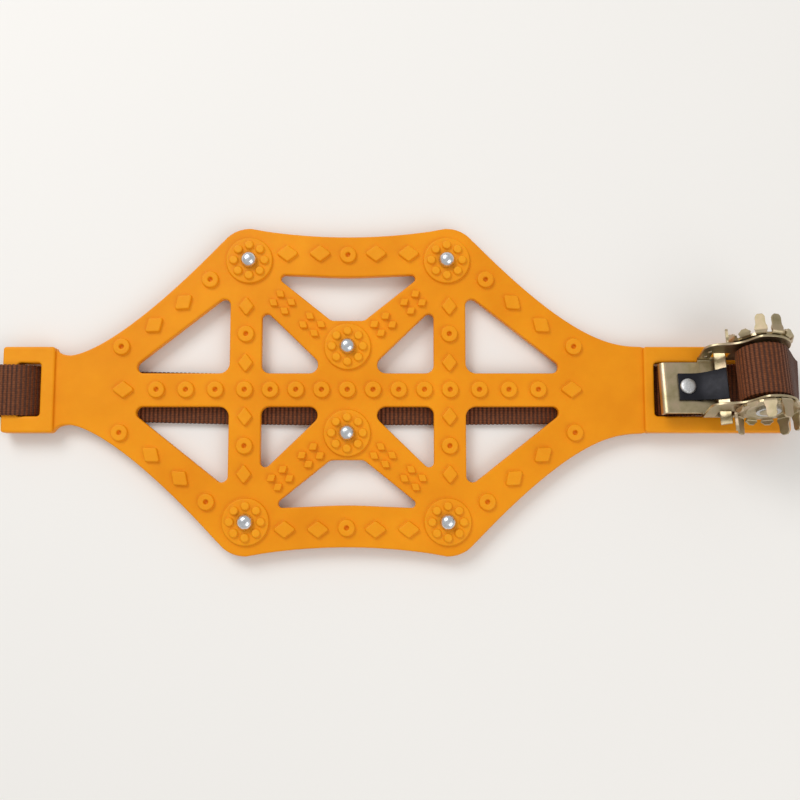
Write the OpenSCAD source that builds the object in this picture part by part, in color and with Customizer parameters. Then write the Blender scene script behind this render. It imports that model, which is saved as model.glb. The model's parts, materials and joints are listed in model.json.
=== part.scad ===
// Strap-on ice cleat for a shoe: a moulded rubber lattice with steel ice studs, held by a webbing
// strap that is drawn tight by a small ratchet winder. It lies on its strap with the studs up.

/* [Lattice mat] */
// Thickness of the lattice
mat_t = 4.4; // [3.5:0.1:5.5]
// Height of the small tread lugs
lug_h = 1.8; // [1:0.1:2.5]
// Height of the round boss around each stud
boss_h = 1.6; // [1:0.1:2.5]
// Radius of each boss
boss_r = 11.3; // [10:0.1:11.5]
// How far the end frames stand above the lattice
frame_rise = 1.8; // [0:0.1:1.8]
// Half-width of both strap slots
slot_half = 13; // [12.8:0.1:13.6]

/* [Ice studs] */
// Radius of a stud's head
stud_r = 3.9; // [3:0.1:4.5]
// Height of a stud's head above its boss
stud_h = 4.5; // [3:0.1:6]

/* [Strap] */
// Width of the webbing
strap_w = 24.8; // [20:0.1:25]
// Thickness of the webbing
strap_t = 1.5; // [1:0.1:1.6]
// Radius of the webbing wound on the spool, under its last turn
coil_r = 10.4; // [8:0.1:10.5]

/* [Ratchet] */
// Lean of the ratchet to one side, as it lies
lean = 14; // [8:1:14]
// Number of bent teeth on each wheel; every other pair is long, as finger tabs
teeth = 12; // [8:4:12]
// Length of a finger tab
tab_l = 8.2; // [5:0.1:11]

/* [Hidden] */
$fn = 48;
eps = 0.01;

// Levels of the stack, from the floor up: two layers of strap, then the mat
gap = 0.3;
mat_z = 2 * strap_t + 2 * gap;
mat_top = mat_z + mat_t;
frame_top = mat_top + frame_rise;
boss_top = mat_top + boss_h;

// Lattice layout, for one quadrant
corner_boss = [48.2, 63.5];
centre_boss_y = 21;
end_right = 212.9;
end_left = -166.3;
frame_half = 20.8;
frame_right_x = 143;
frame_left_x = -141.3;
neck_half = 16.9;
rail_half = 8.1;
column_x = 49.3;
slot_right = [147.8, 205];
slot_left = [-159, -147.8];
arc_steps = 8;
ring_r = 4.05;
ring_hole_r = 1;
cluster_pitch = [6.8, 5.4];

// Ratchet, in its own frame: x along the strap, y across it, z up from the plate's underside
ratchet_at = [149.3, -0.3, 15];
plate_t = 1.5;
plate_half = 12.9;
plate_l = 32;
ear_y = 14;
ear_t = 1.2;
ear_x = 18.6;
ear_r = 13.6;
ear_front_h = 19.2;
spool = [44.5, 16];
axle_r = 4;
running_gap = 0.05;
wheel_y = 15.6;
wheel_t = 1.2;
wheel_r = 12.8;
tab_r = 15;
tab_w = 4.4;
short_tab_l = 2.2;
rivet_x = 12.7;
rivet_r = 2.5;
pawl_t = 1.2;
pawl_w = 13.5;
pawl_start = 8.3;
pawl_hinge = [17, 2.1];
pawl_tip = [30.2, 8.2];
bar_half = 20;
bar_slot = [[24, 2.3], [32.2, 9.8]];
cap_r = 5.6;
cap_t = 1;

// Strap route: [x, y, z, share of the ratchet's lean], where it leaves the bracket, passes behind
// the mat, goes round the left bar, comes back underneath, goes round the right bar and climbs
// to the spool, which it goes round as the last turn.
upper_run = strap_t * 1.5 + gap;
lower_run = strap_t / 2;
turn_left_r = (frame_top + gap) / 2;
turn_right_r = 4.15;
drift = [[120, -3], [60, -4], [-40, -4], [-93, -3], [-134, -2], [-143, -0.6]];
at_bracket = [[169.3, -0.5, 14.22, 1], [158.3, -0.5, 14.22, 1], [155, -0.5, 13.4, 0.95],
    [153, -0.4, 11, 0.8], [151.7, -0.3, 8, 0.55], [150.7, -0.3, 5.4, 0.3], [149.4, -0.3, 3.45, 0.1],
    [147.5, -0.3, 2.65, 0], [144.5, -0.5, upper_run, 0]];
in_left_slot = [[-147.8, -0.4, 2.6, 0], [-149.5, -0.4, 3.9, 0], [-152.7, -0.4, 7, 0],
    [-156.3, -0.4, 9.9, 0], [-159, -0.4, 10.85, 0], [-163, -0.4, 10.85, 0]];
right_end = [[150, -0.5], [190, 1.2], [208, 1.5]];
climb = [[216.7, 1.5, 9, 0], [214.6, 1.7, 13.5, 0.15], [211.2, 2.5, 20.5, 0.45], [207.7, 3.6, 28, 0.75]];

// Stops round a bend about (x, z), from one angle to another
function turn(x, z, r, a0, a1, n) = [for (i = [0:n]) let (a = a0 + (a1 - a0) * i / n)
    [x + r * cos(a), z + r * sin(a)]];
function on_ratchet(x, z) = [ratchet_at[0] + x, ratchet_at[1] + z * sin(lean),
    ratchet_at[2] + z * cos(lean), 1];
function on_spool(a) = let (r = coil_r + gap + strap_t / 2 + 0.05)
    on_ratchet(spool[0] + r * cos(a), spool[1] + r * sin(a));

route = concat(
    at_bracket,
    [for (p = drift) [p[0], p[1], upper_run, 0]],
    in_left_slot,
    [for (p = turn(-166, lower_run + turn_left_r, turn_left_r, 90, 270, 8)) [p[0], -0.4, p[1], 0]],
    [for (i = [len(drift) - 1:-1:0]) [drift[i][0], drift[i][1], lower_run, 0]],
    [for (p = right_end) [p[0], p[1], lower_run, 0]],
    [for (p = turn(212.6, lower_run + turn_right_r, turn_right_r, -90, 0, 4)) [p[0], 1.5, p[1], 0]],
    climb,
    [for (a = [26:16:234]) on_spool(a)]);

// ---- helpers ----

function unit(v) = v / norm(v);
function xyz(p) = [p[0], p[1], p[2]];

// Polygon whose corners [x, y, radius] are rounded by tangent arcs
function rounded(c) = [for (i = [0:len(c) - 1])
    let (p = [c[i][0], c[i][1]],
        a = c[(i + len(c) - 1) % len(c)],
        b = c[(i + 1) % len(c)],
        u = unit([a[0], a[1]] - p),
        v = unit([b[0], b[1]] - p),
        half = acos(u * v) / 2,
        centre = p + unit(u + v) * c[i][2] / sin(half),
        start = p + u * c[i][2] / tan(half) - centre,
        turn_way = sign(u[0] * v[1] - u[1] * v[0]),
        sweep = turn_way * (180 - 2 * half))
    for (k = [0:arc_steps])
        let (t = -sweep * k / arc_steps)
            centre + [start[0] * cos(t) - start[1] * sin(t), start[0] * sin(t) + start[1] * cos(t)]];

function bezier(a, b, c, d, n) = [for (i = [0:n]) let (t = i / n, s = 1 - t)
    s * s * s * a + 3 * s * s * t * b + 3 * s * t * t * c + t * t * t * d];

module quadrants() {
    for (sx = [0, 1], sy = [0, 1])
        mirror([sx, 0, 0]) mirror([0, sy, 0]) children();
}

module place_ratchet() {
    translate(ratchet_at) rotate([-lean, 0, 0]) children();
}

// Extrudes an outline drawn in x and z along y, from y0 to y0 + depth
module along_y(y0, depth) {
    translate([0, y0 + depth, 0]) rotate([90, 0, 0]) linear_extrude(depth) children();
}

// ---- mat ----

// The upper half of the outline from the middle out: long edge, corner round a boss, wing
function long_edge() = [for (x = [0:8:40]) [x, 75.5 + 4.2 * pow(x / 48, 2)]];
function corner_arc() = [for (a = [92:-9:38]) corner_boss + 16.3 * [cos(a), sin(a)]];
function wing(pull, ease, last) = bezier([62, 72.7], pull, ease, last, 14);
function neck() = bezier([134.5, neck_half], [138, neck_half], [140.6, 18.2], [-frame_left_x, frame_half], 5);
function half_right() = concat(long_edge(), corner_arc(), wing([118.1, 14.5], [134.2, 22.2], [148, frame_half]),
    [[end_right - 1.5, frame_half], [end_right - 0.4, frame_half - 0.4], [end_right, frame_half - 1.5]]);
function half_left() = concat(long_edge(), corner_arc(), wing([108.7, 22.7], [129, 17.4], [134, neck_half]), neck(),
    [[-end_left - 1.5, frame_half], [-end_left - 0.4, frame_half - 0.4], [-end_left, frame_half - 1.5]]);

module half_outline() {
    polygon(concat([[0, 0]], half_right(), [[end_right, 0]]));
    mirror([1, 0]) polygon(concat([[0, 0]], half_left(), [[-end_left, 0]]));
}

module whole_outline() {
    half_outline();
    mirror([0, 1]) half_outline();
}

// The thicker blocks at the two ends, which carry the slots
module end_frames() {
    translate([frame_right_x, -frame_half]) square([end_right - frame_right_x, 2 * frame_half]);
    translate([end_left, -frame_half]) square([frame_left_x - end_left, 2 * frame_half]);
}

module lattice_holes() {
    for (s = [0, 1]) mirror([0, s]) polygon(rounded([
        [-8, 33.9, 4], [8, 33.9, 4], [36.8, 57, 2], [0, 55.4, 200], [-36.8, 57, 2]]));
    quadrants() {
        polygon(rounded([[8.2, rail_half, 4.2], [41.7, rail_half, 4], [41.7, 40.6, 2.4]]));
        polygon(rounded([[57.2, rail_half, 5], [107.5, rail_half, 3], [57.2, 47.8, 3]]));
    }
    for (s = [slot_right, slot_left])
        polygon(rounded([[s[0], -slot_half, 1.2], [s[1], -slot_half, 1.2],
            [s[1], slot_half, 1.2], [s[0], slot_half, 1.2]]));
}

module rhombus(l, w) {
    polygon([[l / 2, 0], [0, w / 2], [-l / 2, 0], [0, -w / 2]]);
}

module wide_lug() {
    rhombus(11.3, 8.5);
}

module ring_lug() {
    difference() {
        circle(r = ring_r);
        circle(r = ring_hole_r);
    }
}

// Four small lugs set along a diagonal bar
module lug_cluster() {
    for (x = [-1, 1], y = [-1, 1])
        translate([x * cluster_pitch[0], y * cluster_pitch[1]] / 2) rhombus(5.6, 4.2);
}

// All tread lugs, drawn flat
module lugs() {
    for (x = [0:12.4:50]) for (s = [-1, 1]) if (x > 0 || s > 0) translate([s * x, 0]) ring_lug();
    for (x = [63.7, 77.9, 92.1], s = [-1, 1]) translate([s * x, 0]) ring_lug();
    for (s = [-1, 1]) translate([s * 108.1, 0]) wide_lug();
    for (s = [-1, 1]) translate([0, s * 66.3]) ring_lug();
    quadrants() {
        for (x = [13.7, 29.6]) translate([x, 67]) wide_lug();
        for (y = [13.1, 40.8]) translate([column_x, y]) rhombus(7.5, 9.8);
        translate([column_x, 27.2]) ring_lug();
        translate([67.1, 54]) ring_lug();
        translate([79.9, 42.7]) rotate(-41) wide_lug();
        translate([93.9, 31.5]) rotate(-39) wide_lug();
        translate([109.4, 20.9]) ring_lug();
        translate([17.3, 31.8]) rotate(37) lug_cluster();
        translate([31.8, 42.7]) rotate(37) lug_cluster();
    }
}

bosses = concat(
    [for (x = [-1, 1], y = [1, -1]) [x * corner_boss[0], y * corner_boss[1]]],
    [[0, centre_boss_y], [0, -centre_boss_y]]);

neck_r = 2.6;
flange_r = 7;
flange_t = 1.4;
bead_r = 2.05;
bead_h = 1.2;
bead_ring = 7.4;

module mat() {
    color("orange") difference() {
        union() {
            translate([0, 0, mat_z]) linear_extrude(mat_t) difference() {
                whole_outline();
                lattice_holes();
            }
            translate([0, 0, mat_top - eps]) linear_extrude(lug_h + eps) lugs();
            translate([0, 0, mat_z]) linear_extrude(mat_t + frame_rise) difference() {
                intersection() {
                    end_frames();
                    whole_outline();
                }
                lattice_holes();
            }
            for (b = bosses) translate([b[0], b[1], mat_top - eps]) {
                cylinder(r = boss_r, h = boss_h + eps);
                for (a = [0:45:315]) rotate(a) translate([bead_ring, 0, boss_h])
                    cylinder(r = bead_r, h = bead_h);
            }
        }
        for (b = bosses) translate([b[0], b[1], mat_z]) {
            translate([0, 0, -1]) cylinder(r = neck_r, h = mat_t + boss_h + 2);
            translate([0, 0, -1]) cylinder(r = flange_r, h = flange_t + 1);
        }
    }
}

// ---- ice stud: flange, neck and domed head in one piece ----

module stud(i) {
    rim = stud_h * 0.55;
    translate([bosses[i][0], bosses[i][1], 0]) color("silver") rotate_extrude() polygon(concat(
        [[0, mat_z], [flange_r, mat_z], [flange_r, mat_z + flange_t], [neck_r, mat_z + flange_t],
            [neck_r, boss_top], [stud_r, boss_top]],
        [for (a = [0:15:90]) [stud_r * cos(a), boss_top + rim + (stud_h - rim) * sin(a)]]));
}

// ---- strap ----

// Corners of the webbing's section at one stop of the route
function section(i) =
    let (p = xyz(route[i]),
        before = xyz(route[max(i - 1, 0)]),
        after = xyz(route[min(i + 1, len(route) - 1)]),
        roll = route[i][3] * lean,
        across = [0, cos(roll), -sin(roll)],
        up = unit(cross(unit(after - before), across)),
        w = across * strap_w / 2,
        t = up * strap_t / 2)
    [p - w - t, p + w - t, p + w + t, p - w + t];

module strap() {
    n = len(route);
    color("saddlebrown") polyhedron(
        points = [for (i = [0:n - 1]) each section(i)],
        faces = concat(
            [[0, 1, 2, 3], [for (k = [3:-1:0]) 4 * (n - 1) + k]],
            [for (i = [0:n - 2], k = [0:3])
                [4 * i + k, 4 * i + 4 + k, 4 * i + 4 + (k + 1) % 4, 4 * i + (k + 1) % 4]]));
}

module on_axle() {
    place_ratchet() translate([spool[0], 0, spool[1]]) children();
}

module strap_coil() {
    color("saddlebrown") on_axle() rotate([90, 0, 0]) difference() {
        cylinder(r = coil_r, h = strap_w, center = true);
        cylinder(r = axle_r + 0.02, h = strap_w + 2, center = true);
    }
}

// ---- ratchet ----

module ear_outline() {
    difference() {
        union() {
            translate(spool) circle(r = ear_r);
            polygon([[ear_x, 0], [spool[0] + 6, 0], [spool[0] + 6, 12],
                spool + [-3, ear_r - 0.4], [35.5, ear_front_h + 5], [31, ear_front_h + 1.2],
                [ear_x + 3, ear_front_h], [ear_x, ear_front_h - 2.7]]);
        }
        translate(spool) circle(r = axle_r + running_gap);
        translate(bar_slot[0]) square(bar_slot[1] - bar_slot[0]);
    }
}

module bracket() {
    place_ratchet() color("darkkhaki") union() {
        difference() {
            union() {
                linear_extrude(plate_t) polygon(rounded([[0, -plate_half, 1.5],
                    [ear_x + 2, -plate_half, 0.5], [ear_x + 2, plate_half, 0.5], [0, plate_half, 1.5]]));
                translate([ear_x, -ear_y, 0]) cube([plate_l - ear_x, 2 * ear_y, plate_t]);
            }
            translate([rivet_x, 0, -1]) cylinder(r = rivet_r, h = plate_t + 2);
        }
        translate([0, -plate_half + 1.5, -1.5]) cube([1.3, 2 * plate_half - 3, 1.6]);
        along_y(ear_y, ear_t) ear_outline();
        along_y(-ear_y - ear_t, ear_t) ear_outline();
    }
}

module pawl_root() {
    place_ratchet() color("#26262a") difference() {
        translate([pawl_start, -pawl_w / 2, plate_t])
            cube([pawl_hinge[0] - gap / 2 - pawl_start, pawl_w, pawl_t]);
        translate([rivet_x, 0, 0]) cylinder(r = rivet_r, h = 5);
    }
}

// The free end of the leaf, which rises to the wheels and ends in a bar that passes both ears
module pawl_blade() {
    hinge = pawl_hinge;
    bend = [26, 6];
    place_ratchet() color("#26262a") union() {
        along_y(-pawl_w / 2, pawl_w) polygon([[hinge[0] + gap / 2, plate_t + 0.1], bend - [0, pawl_t],
            bend, [hinge[0] + gap / 2, plate_t + pawl_t]]);
        along_y(-bar_half, 2 * bar_half) polygon([[25, 4.3], [26.5, 4.6], pawl_tip + [0, -1],
            pawl_tip, [28.6, 7.4], [25, 5.6]]);
    }
}

module pawl_rivet() {
    top = plate_t + pawl_t;
    place_ratchet() translate([rivet_x, 0, 0]) color("silver") rotate_extrude() polygon(concat(
        [[0, -4], [3.4, -4], [3.4, -2.8], [rivet_r, -2.8], [rivet_r, top], [3.8, top]],
        [for (a = [0:15:90]) [3.8 * cos(a), top + 0.6 + 1 * sin(a)]]));
}

module rivet_washer() {
    place_ratchet() translate([rivet_x, 0, -2.8]) color("silver") difference() {
        cylinder(r = 6, h = 1.1);
        translate([0, 0, -1]) cylinder(r = rivet_r, h = 4);
    }
}

module spindle() {
    l = 2 * (wheel_y + wheel_t + cap_t + 0.2);
    on_axle() rotate([90, 0, 0]) color("darkkhaki") difference() {
        cylinder(r = axle_r, h = l, center = true);
        cube([2 * axle_r + 1, 2, 2 * ear_y - 2], center = true);
    }
}

module tab(l) {
    c = tab_w / 2;
    rotate([90, 0, 90]) translate([0, 0, tab_r - wheel_t]) linear_extrude(wheel_t)
        polygon([[-c, 0], [c, 0], [c, l - 1.6], [c - 1.5, l + wheel_t], [1.5 - c, l + wheel_t], [-c, l - 1.6]]);
}

// A toothed wheel, drawn lying flat with its teeth up
module wheel() {
    color("darkkhaki") difference() {
        union() {
            cylinder(r = wheel_r, h = wheel_t);
            for (i = [0:teeth - 1]) rotate((i + 0.5) * 360 / teeth) {
                translate([wheel_r - 1.5, -tab_w / 2, 0]) cube([tab_r - wheel_r + 1.5, tab_w, wheel_t]);
                tab(i % 4 < 2 ? short_tab_l : tab_l);
            }
        }
        translate([0, 0, -1]) cylinder(r = axle_r, h = wheel_t + 2);
    }
}

// Puts a thing made lying flat on the axle, at a distance from the middle on one side
module on_side(side, y) {
    on_axle() rotate([side > 0 ? -90 : 90, 0, 0]) translate([0, 0, y]) children();
}

// Washer staked on each end of the spindle
module spindle_cap(side) {
    on_side(side, wheel_y + wheel_t + 0.01) color("silver") difference() {
        cylinder(r = cap_r, h = cap_t);
        translate([0, 0, -1]) cylinder(r = axle_r, h = 4);
    }
}

mat();
stud(0);  // stud_1
stud(1);  // stud_2
stud(2);  // stud_3
stud(3);  // stud_4
stud(4);  // stud_5
stud(5);  // stud_6
strap();
strap_coil();
bracket();
pawl_root();
pawl_blade();
pawl_rivet();
rivet_washer();
spindle();
on_side(-1, wheel_y) wheel();  // ratchet_wheel_front
on_side(1, wheel_y) rotate(180) wheel();  // ratchet_wheel_rear
spindle_cap(-1);  // spindle_cap_front
spindle_cap(1);  // spindle_cap_rear
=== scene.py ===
"""Looks of a strap-on ice cleat: moulded rubber lattice, steel studs, ribbed webbing, small ratchet.

Sizes are in millimetres and become metres where a mesh is made. Places come from the frame.
"""

import json
import math

import bmesh
import bpy
from mathutils import Matrix, Vector


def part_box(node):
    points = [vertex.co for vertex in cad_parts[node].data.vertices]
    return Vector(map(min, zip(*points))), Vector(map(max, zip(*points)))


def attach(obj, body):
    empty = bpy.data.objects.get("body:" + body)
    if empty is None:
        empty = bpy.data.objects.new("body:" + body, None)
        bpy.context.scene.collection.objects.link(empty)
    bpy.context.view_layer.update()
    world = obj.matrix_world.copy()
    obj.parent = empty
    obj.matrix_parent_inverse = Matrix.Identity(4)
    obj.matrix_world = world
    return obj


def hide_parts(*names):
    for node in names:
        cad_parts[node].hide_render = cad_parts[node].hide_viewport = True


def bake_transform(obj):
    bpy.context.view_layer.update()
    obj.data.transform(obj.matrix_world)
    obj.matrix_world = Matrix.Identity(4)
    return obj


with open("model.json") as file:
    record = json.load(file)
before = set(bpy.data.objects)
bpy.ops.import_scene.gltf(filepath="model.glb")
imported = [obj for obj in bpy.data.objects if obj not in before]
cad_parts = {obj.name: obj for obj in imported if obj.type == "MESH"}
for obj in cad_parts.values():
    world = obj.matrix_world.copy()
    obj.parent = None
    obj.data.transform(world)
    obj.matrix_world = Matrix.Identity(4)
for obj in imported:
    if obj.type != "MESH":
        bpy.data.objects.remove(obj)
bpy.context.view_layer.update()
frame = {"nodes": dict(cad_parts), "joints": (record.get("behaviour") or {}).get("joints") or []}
MM = 0.001


def node_box(node):
    """A CAD node's lowest and highest corners, in millimetres."""
    low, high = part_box(node)
    return Vector(low) / MM, Vector(high) / MM


# ---------------------------------------------------------------- sizes and places

# Lattice mat, whose long parts lie along x
MAT_LOW, MAT_HIGH = node_box("mat")
END_LEFT, END_RIGHT = MAT_LOW.x, MAT_HIGH.x
MAT_Z = MAT_LOW.z
MAT_T = 4.4
MAT_TOP = MAT_Z + MAT_T
LUG_H = 1.8
BOSS_R = 11.3
BOSS_H = 1.6
BOSS_TOP = MAT_TOP + BOSS_H
BEAD_R = 2.1
BEAD_H = 1.5
BEADS = 8
BEAD_RING_R = 7.5
RAIL_HALF = 8.1
FRAME_HALF = 20.8
FRAME_RISE = 1.8
FRAME_TOP = MAT_TOP + FRAME_RISE
FRAME_RIGHT_X = 143
FRAME_LEFT_X = -141.3
NECK_HALF = 16.9
SLOT_HALF = 13
SLOT_RIGHT = (147.8, 205)
SLOT_LEFT = (-159, -147.8)

# Outline of its upper right quarter: the corner's arc, and where the wings start
CORNER = (48.2, 63.5)
CORNER_R = 16.3
WING_START = (62, 72.7)

# Small lugs. A rhombus is (length along x, width, corner radius)
RING_R = 4.05
RING_HOLE_R = 1.05
RING_PITCH = 12.4
RHOMBUS = (11.3, 8.5, 1.1)
COLUMN_RHOMBUS = (7.5, 9.8, 0.9)
COLUMN_X = 49.3
CLUSTER_RHOMBUS = (5.6, 4.2, 0.6)
CLUSTERS = ((17.3, 31.8), (31.8, 42.7))
CLUSTER_TURN = 37
CLUSTER_HALF = (3.4, 2.7)

# Studs
NECK_R = 2.6
FLANGE_R = 7
FLANGE_T = 1.4

# Webbing
STRAP_W = 24.8
STRAP_T = 1.5
RIB_PITCH = 2.05
GAP = 0.3
COIL_R = 10.4

# The ratchet's own frame: x along the strap, y across it along the spool's axis, z up
SPOOL_LOCAL = Vector((44.5, 0, 16))
SPOOL_TURN = next(j for j in frame["joints"] if j["name"] == "spool_turn")
AXIS = Vector(SPOOL_TURN["axis"])
LEAN = math.atan2(-AXIS.z, AXIS.y)
TURN = Matrix.Rotation(-LEAN, 3, "X")
RATCHET_AT = Vector(SPOOL_TURN["pos_m"]) / MM - TURN @ SPOOL_LOCAL

# Ratchet: the plate with its rolled front lip and two ears
PLATE_T = 1.5
PLATE_HALF = 12.9
PLATE_L = 32
LIP_R = 3
EAR_Y = 14
EAR_T = 1.2
EAR_X = 18.6
EAR_R = 13.6
EAR_FRONT_H = 19.2
BAR_SLOT = ((24, 2.3), (32.2, 9.8))
DIMPLES = ((22.4, 11), (21.7, 5.4))
SHEET_EDGE_R = 0.22

# Ratchet: the toothed wheels on their axle
AXLE_R = 4
WHEEL_Y = 15.6
WHEEL_T = 1.2
WHEEL_R = 12.8
TEETH = 12
TAB_R = 15
TAB_W = 4.4
TAB_L = 8.2
SHORT_TAB_L = 2.2
TAB_BEND_R = 1.3
TAB_FLARE = 0.7
EMBOSSED = (8.2, 10.4)

# Ratchet: the leaf pawl, its bar and its rivet
PAWL_T = 1.2
LEAF_T = 0.7
BAR_T = 0.9
BAR_HALF = 20
RIVET_X = 12.7


def on_ratchet(p):
    """A point of the ratchet's own frame, in the object's frame."""
    return RATCHET_AT + TURN @ Vector(p)


# ---------------------------------------------------------------- materials

def principled(name, colour, roughness, metallic=0.0, **extra):
    """A new material, its node tree and its Principled shader."""
    material = bpy.data.materials.new(name)
    material.use_nodes = True
    tree = material.node_tree
    shader = tree.nodes["Principled BSDF"]
    shader.inputs["Base Color"].default_value = (*colour, 1)
    shader.inputs["Roughness"].default_value = roughness
    shader.inputs["Metallic"].default_value = metallic
    for socket, value in extra.items():
        shader.inputs[socket.replace("_", " ")].default_value = value
    return material, tree, shader


def noise(tree, scale, detail=3, roughness=0.55, stretch=(1, 1, 1)):
    """Noise over the object's own coordinates, in features per metre."""
    coords = tree.nodes.new("ShaderNodeTexCoord")
    mapping = tree.nodes.new("ShaderNodeMapping")
    mapping.inputs["Scale"].default_value = stretch
    texture = tree.nodes.new("ShaderNodeTexNoise")
    texture.inputs["Scale"].default_value = scale
    texture.inputs["Detail"].default_value = detail
    texture.inputs["Roughness"].default_value = roughness
    tree.links.new(coords.outputs["Object"], mapping.inputs["Vector"])
    tree.links.new(mapping.outputs["Vector"], texture.inputs["Vector"])
    return texture.outputs["Fac"]


def ramp(tree, factor, *stops):
    """A colour ramp over a factor; each stop is (position, colour)."""
    node = tree.nodes.new("ShaderNodeValToRGB")
    elements = node.color_ramp.elements
    while len(elements) < len(stops):
        elements.new(0.5)
    for element, (position, colour) in zip(elements, stops):
        element.position = position
        element.color = (*colour, 1)
    tree.links.new(factor, node.inputs["Fac"])
    return node.outputs["Color"]


def times(tree, value, factor):
    """A value multiplied by a number."""
    node = tree.nodes.new("ShaderNodeMath")
    node.operation = "MULTIPLY"
    node.inputs[1].default_value = factor
    tree.links.new(value, node.inputs[0])
    return node.outputs[0]


def height(tree):
    """Height above the floor, in millimetres."""
    split = tree.nodes.new("ShaderNodeSeparateXYZ")
    tree.links.new(tree.nodes.new("ShaderNodeTexCoord").outputs["Object"], split.inputs["Vector"])
    return times(tree, split.outputs["Z"], 1 / MM)


def value_range(tree, factor, low, high, start=0.0, end=1.0):
    """Maps a factor that runs from start to end onto low to high."""
    node = tree.nodes.new("ShaderNodeMapRange")
    node.inputs["From Min"].default_value = start
    node.inputs["From Max"].default_value = end
    node.inputs["To Min"].default_value = low
    node.inputs["To Max"].default_value = high
    tree.links.new(factor, node.inputs["Value"])
    return node.outputs["Result"]


def mix(tree, factor, a, b, blend="MIX"):
    """Mixes two colour outputs; factor is a number or an output."""
    node = tree.nodes.new("ShaderNodeMix")
    node.data_type = "RGBA"
    node.blend_type = blend
    if isinstance(factor, (int, float)):
        node.inputs[0].default_value = factor
    else:
        tree.links.new(factor, node.inputs[0])
    tree.links.new(a, node.inputs[6])
    tree.links.new(b, node.inputs[7])
    return node.outputs[2]


def bump(tree, shader, relief, strength, distance, before=None):
    """Relief in the shading, on top of an earlier bump if there is one."""
    node = tree.nodes.new("ShaderNodeBump")
    node.inputs["Strength"].default_value = strength
    node.inputs["Distance"].default_value = distance
    tree.links.new(relief, node.inputs["Height"])
    if before is not None:
        tree.links.new(before, node.inputs["Normal"])
    tree.links.new(node.outputs["Normal"], shader.inputs["Normal"])
    return node.outputs["Normal"]


def rubber_material():
    """Orange moulded rubber: faint flow mottling, a satin skin, and lug tops painted lighter as a painted
    highlight.
    """
    material, tree, shader = principled(
        "orange_rubber", (0.86, 0.33, 0.012), 0.45,
        Subsurface_Weight=0.08, Subsurface_Scale=0.002, Specular_IOR_Level=0.16)
    shader.inputs["Subsurface Radius"].default_value = (1.0, 0.35, 0.05)
    body = ramp(tree, noise(tree, 38, 4), (0.3, (0.80, 0.265, 0.003)), (0.72, (0.90, 0.33, 0.006)))
    # Painted highlight: a lighter, mottled orange that fades in with height, so the tops of the lugs look
    # lit.
    lit_top_colour = ramp(tree, noise(tree, 300, 2), (0.2, (0.86, 0.33, 0.008)), (0.8, (0.93, 0.39, 0.016)))
    top_highlight = value_range(tree, height(tree), -0.02, 0.8, MAT_TOP + 0.6, MAT_TOP + 3.2)
    tree.links.new(mix(tree, top_highlight, body, lit_top_colour), shader.inputs["Base Color"])
    tree.links.new(value_range(tree, noise(tree, 120, 3), 0.36, 0.52), shader.inputs["Roughness"])
    skin = bump(tree, shader, noise(tree, 2600, 2), 0.10, 0.0002)
    bump(tree, shader, noise(tree, 90, 2), 0.10, 0.0015, skin)
    return material


def stud_material():
    """Bright plated steel with turning marks and small scuffs."""
    material, tree, shader = principled("stud_steel", (0.70, 0.73, 0.77), 0.24, 1.0)
    tint = ramp(tree, noise(tree, 700, 3), (0.25, (0.60, 0.63, 0.68)), (0.75, (0.82, 0.84, 0.87)))
    tree.links.new(tint, shader.inputs["Base Color"])
    tree.links.new(value_range(tree, noise(tree, 1800, 3), 0.14, 0.36), shader.inputs["Roughness"])
    bump(tree, shader, noise(tree, 1500, 3), 0.25, 0.0002)
    return material


def webbing_material():
    """Brown polypropylene webbing; its ribs are real, its yarns are fine bump and colour, and the rib tops
    carry a painted highlight and the grooves painted shade.
    """
    material, tree, shader = principled(
        "brown_webbing", (0.14, 0.050, 0.022), 0.66, Sheen_Weight=0.04, Sheen_Roughness=0.4,
        Specular_IOR_Level=0.3)
    uv = tree.nodes.new("ShaderNodeTexCoord").outputs["UV"]
    split = tree.nodes.new("ShaderNodeSeparateXYZ")
    tree.links.new(uv, split.inputs["Vector"])

    def wave(output, per_unit):
        sine = tree.nodes.new("ShaderNodeMath")
        sine.operation = "SINE"
        tree.links.new(times(tree, output, per_unit * 2 * math.pi), sine.inputs[0])
        return value_range(tree, sine.outputs[0], 0, 1, -1, 1)

    warp = wave(split.outputs["Y"], 1.15)
    twill = wave(split.outputs["X"], 3.0)
    rib = wave(split.outputs["X"], 1.0)
    base = ramp(tree, noise(tree, 900, 3), (0.25, (0.090, 0.024, 0.006)), (0.8, (0.200, 0.062, 0.018)))
    # Painted highlight and shade: colour along each rib, lighter on the ridge and darker in the groove.
    rib_highlight_and_shade = ramp(tree, rib, (0.1, (0.45, 0.42, 0.40)), (0.85, (1.25, 1.2, 1.15)))
    yarn = ramp(tree, warp, (0.05, (0.72, 0.70, 0.68)), (0.6, (1.1, 1.08, 1.05)))
    tree.links.new(mix(tree, 1.0, mix(tree, 1.0, base, rib_highlight_and_shade, "MULTIPLY"), yarn, "MULTIPLY"),
                   shader.inputs["Base Color"])
    tree.links.new(value_range(tree, noise(tree, 1500, 2), 0.5, 0.75), shader.inputs["Roughness"])
    first = bump(tree, shader, warp, 0.55, 0.00018)
    second = bump(tree, shader, twill, 0.25, 0.0001, first)
    bump(tree, shader, noise(tree, 5200, 2), 0.3, 0.0001, second)
    return material


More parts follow.
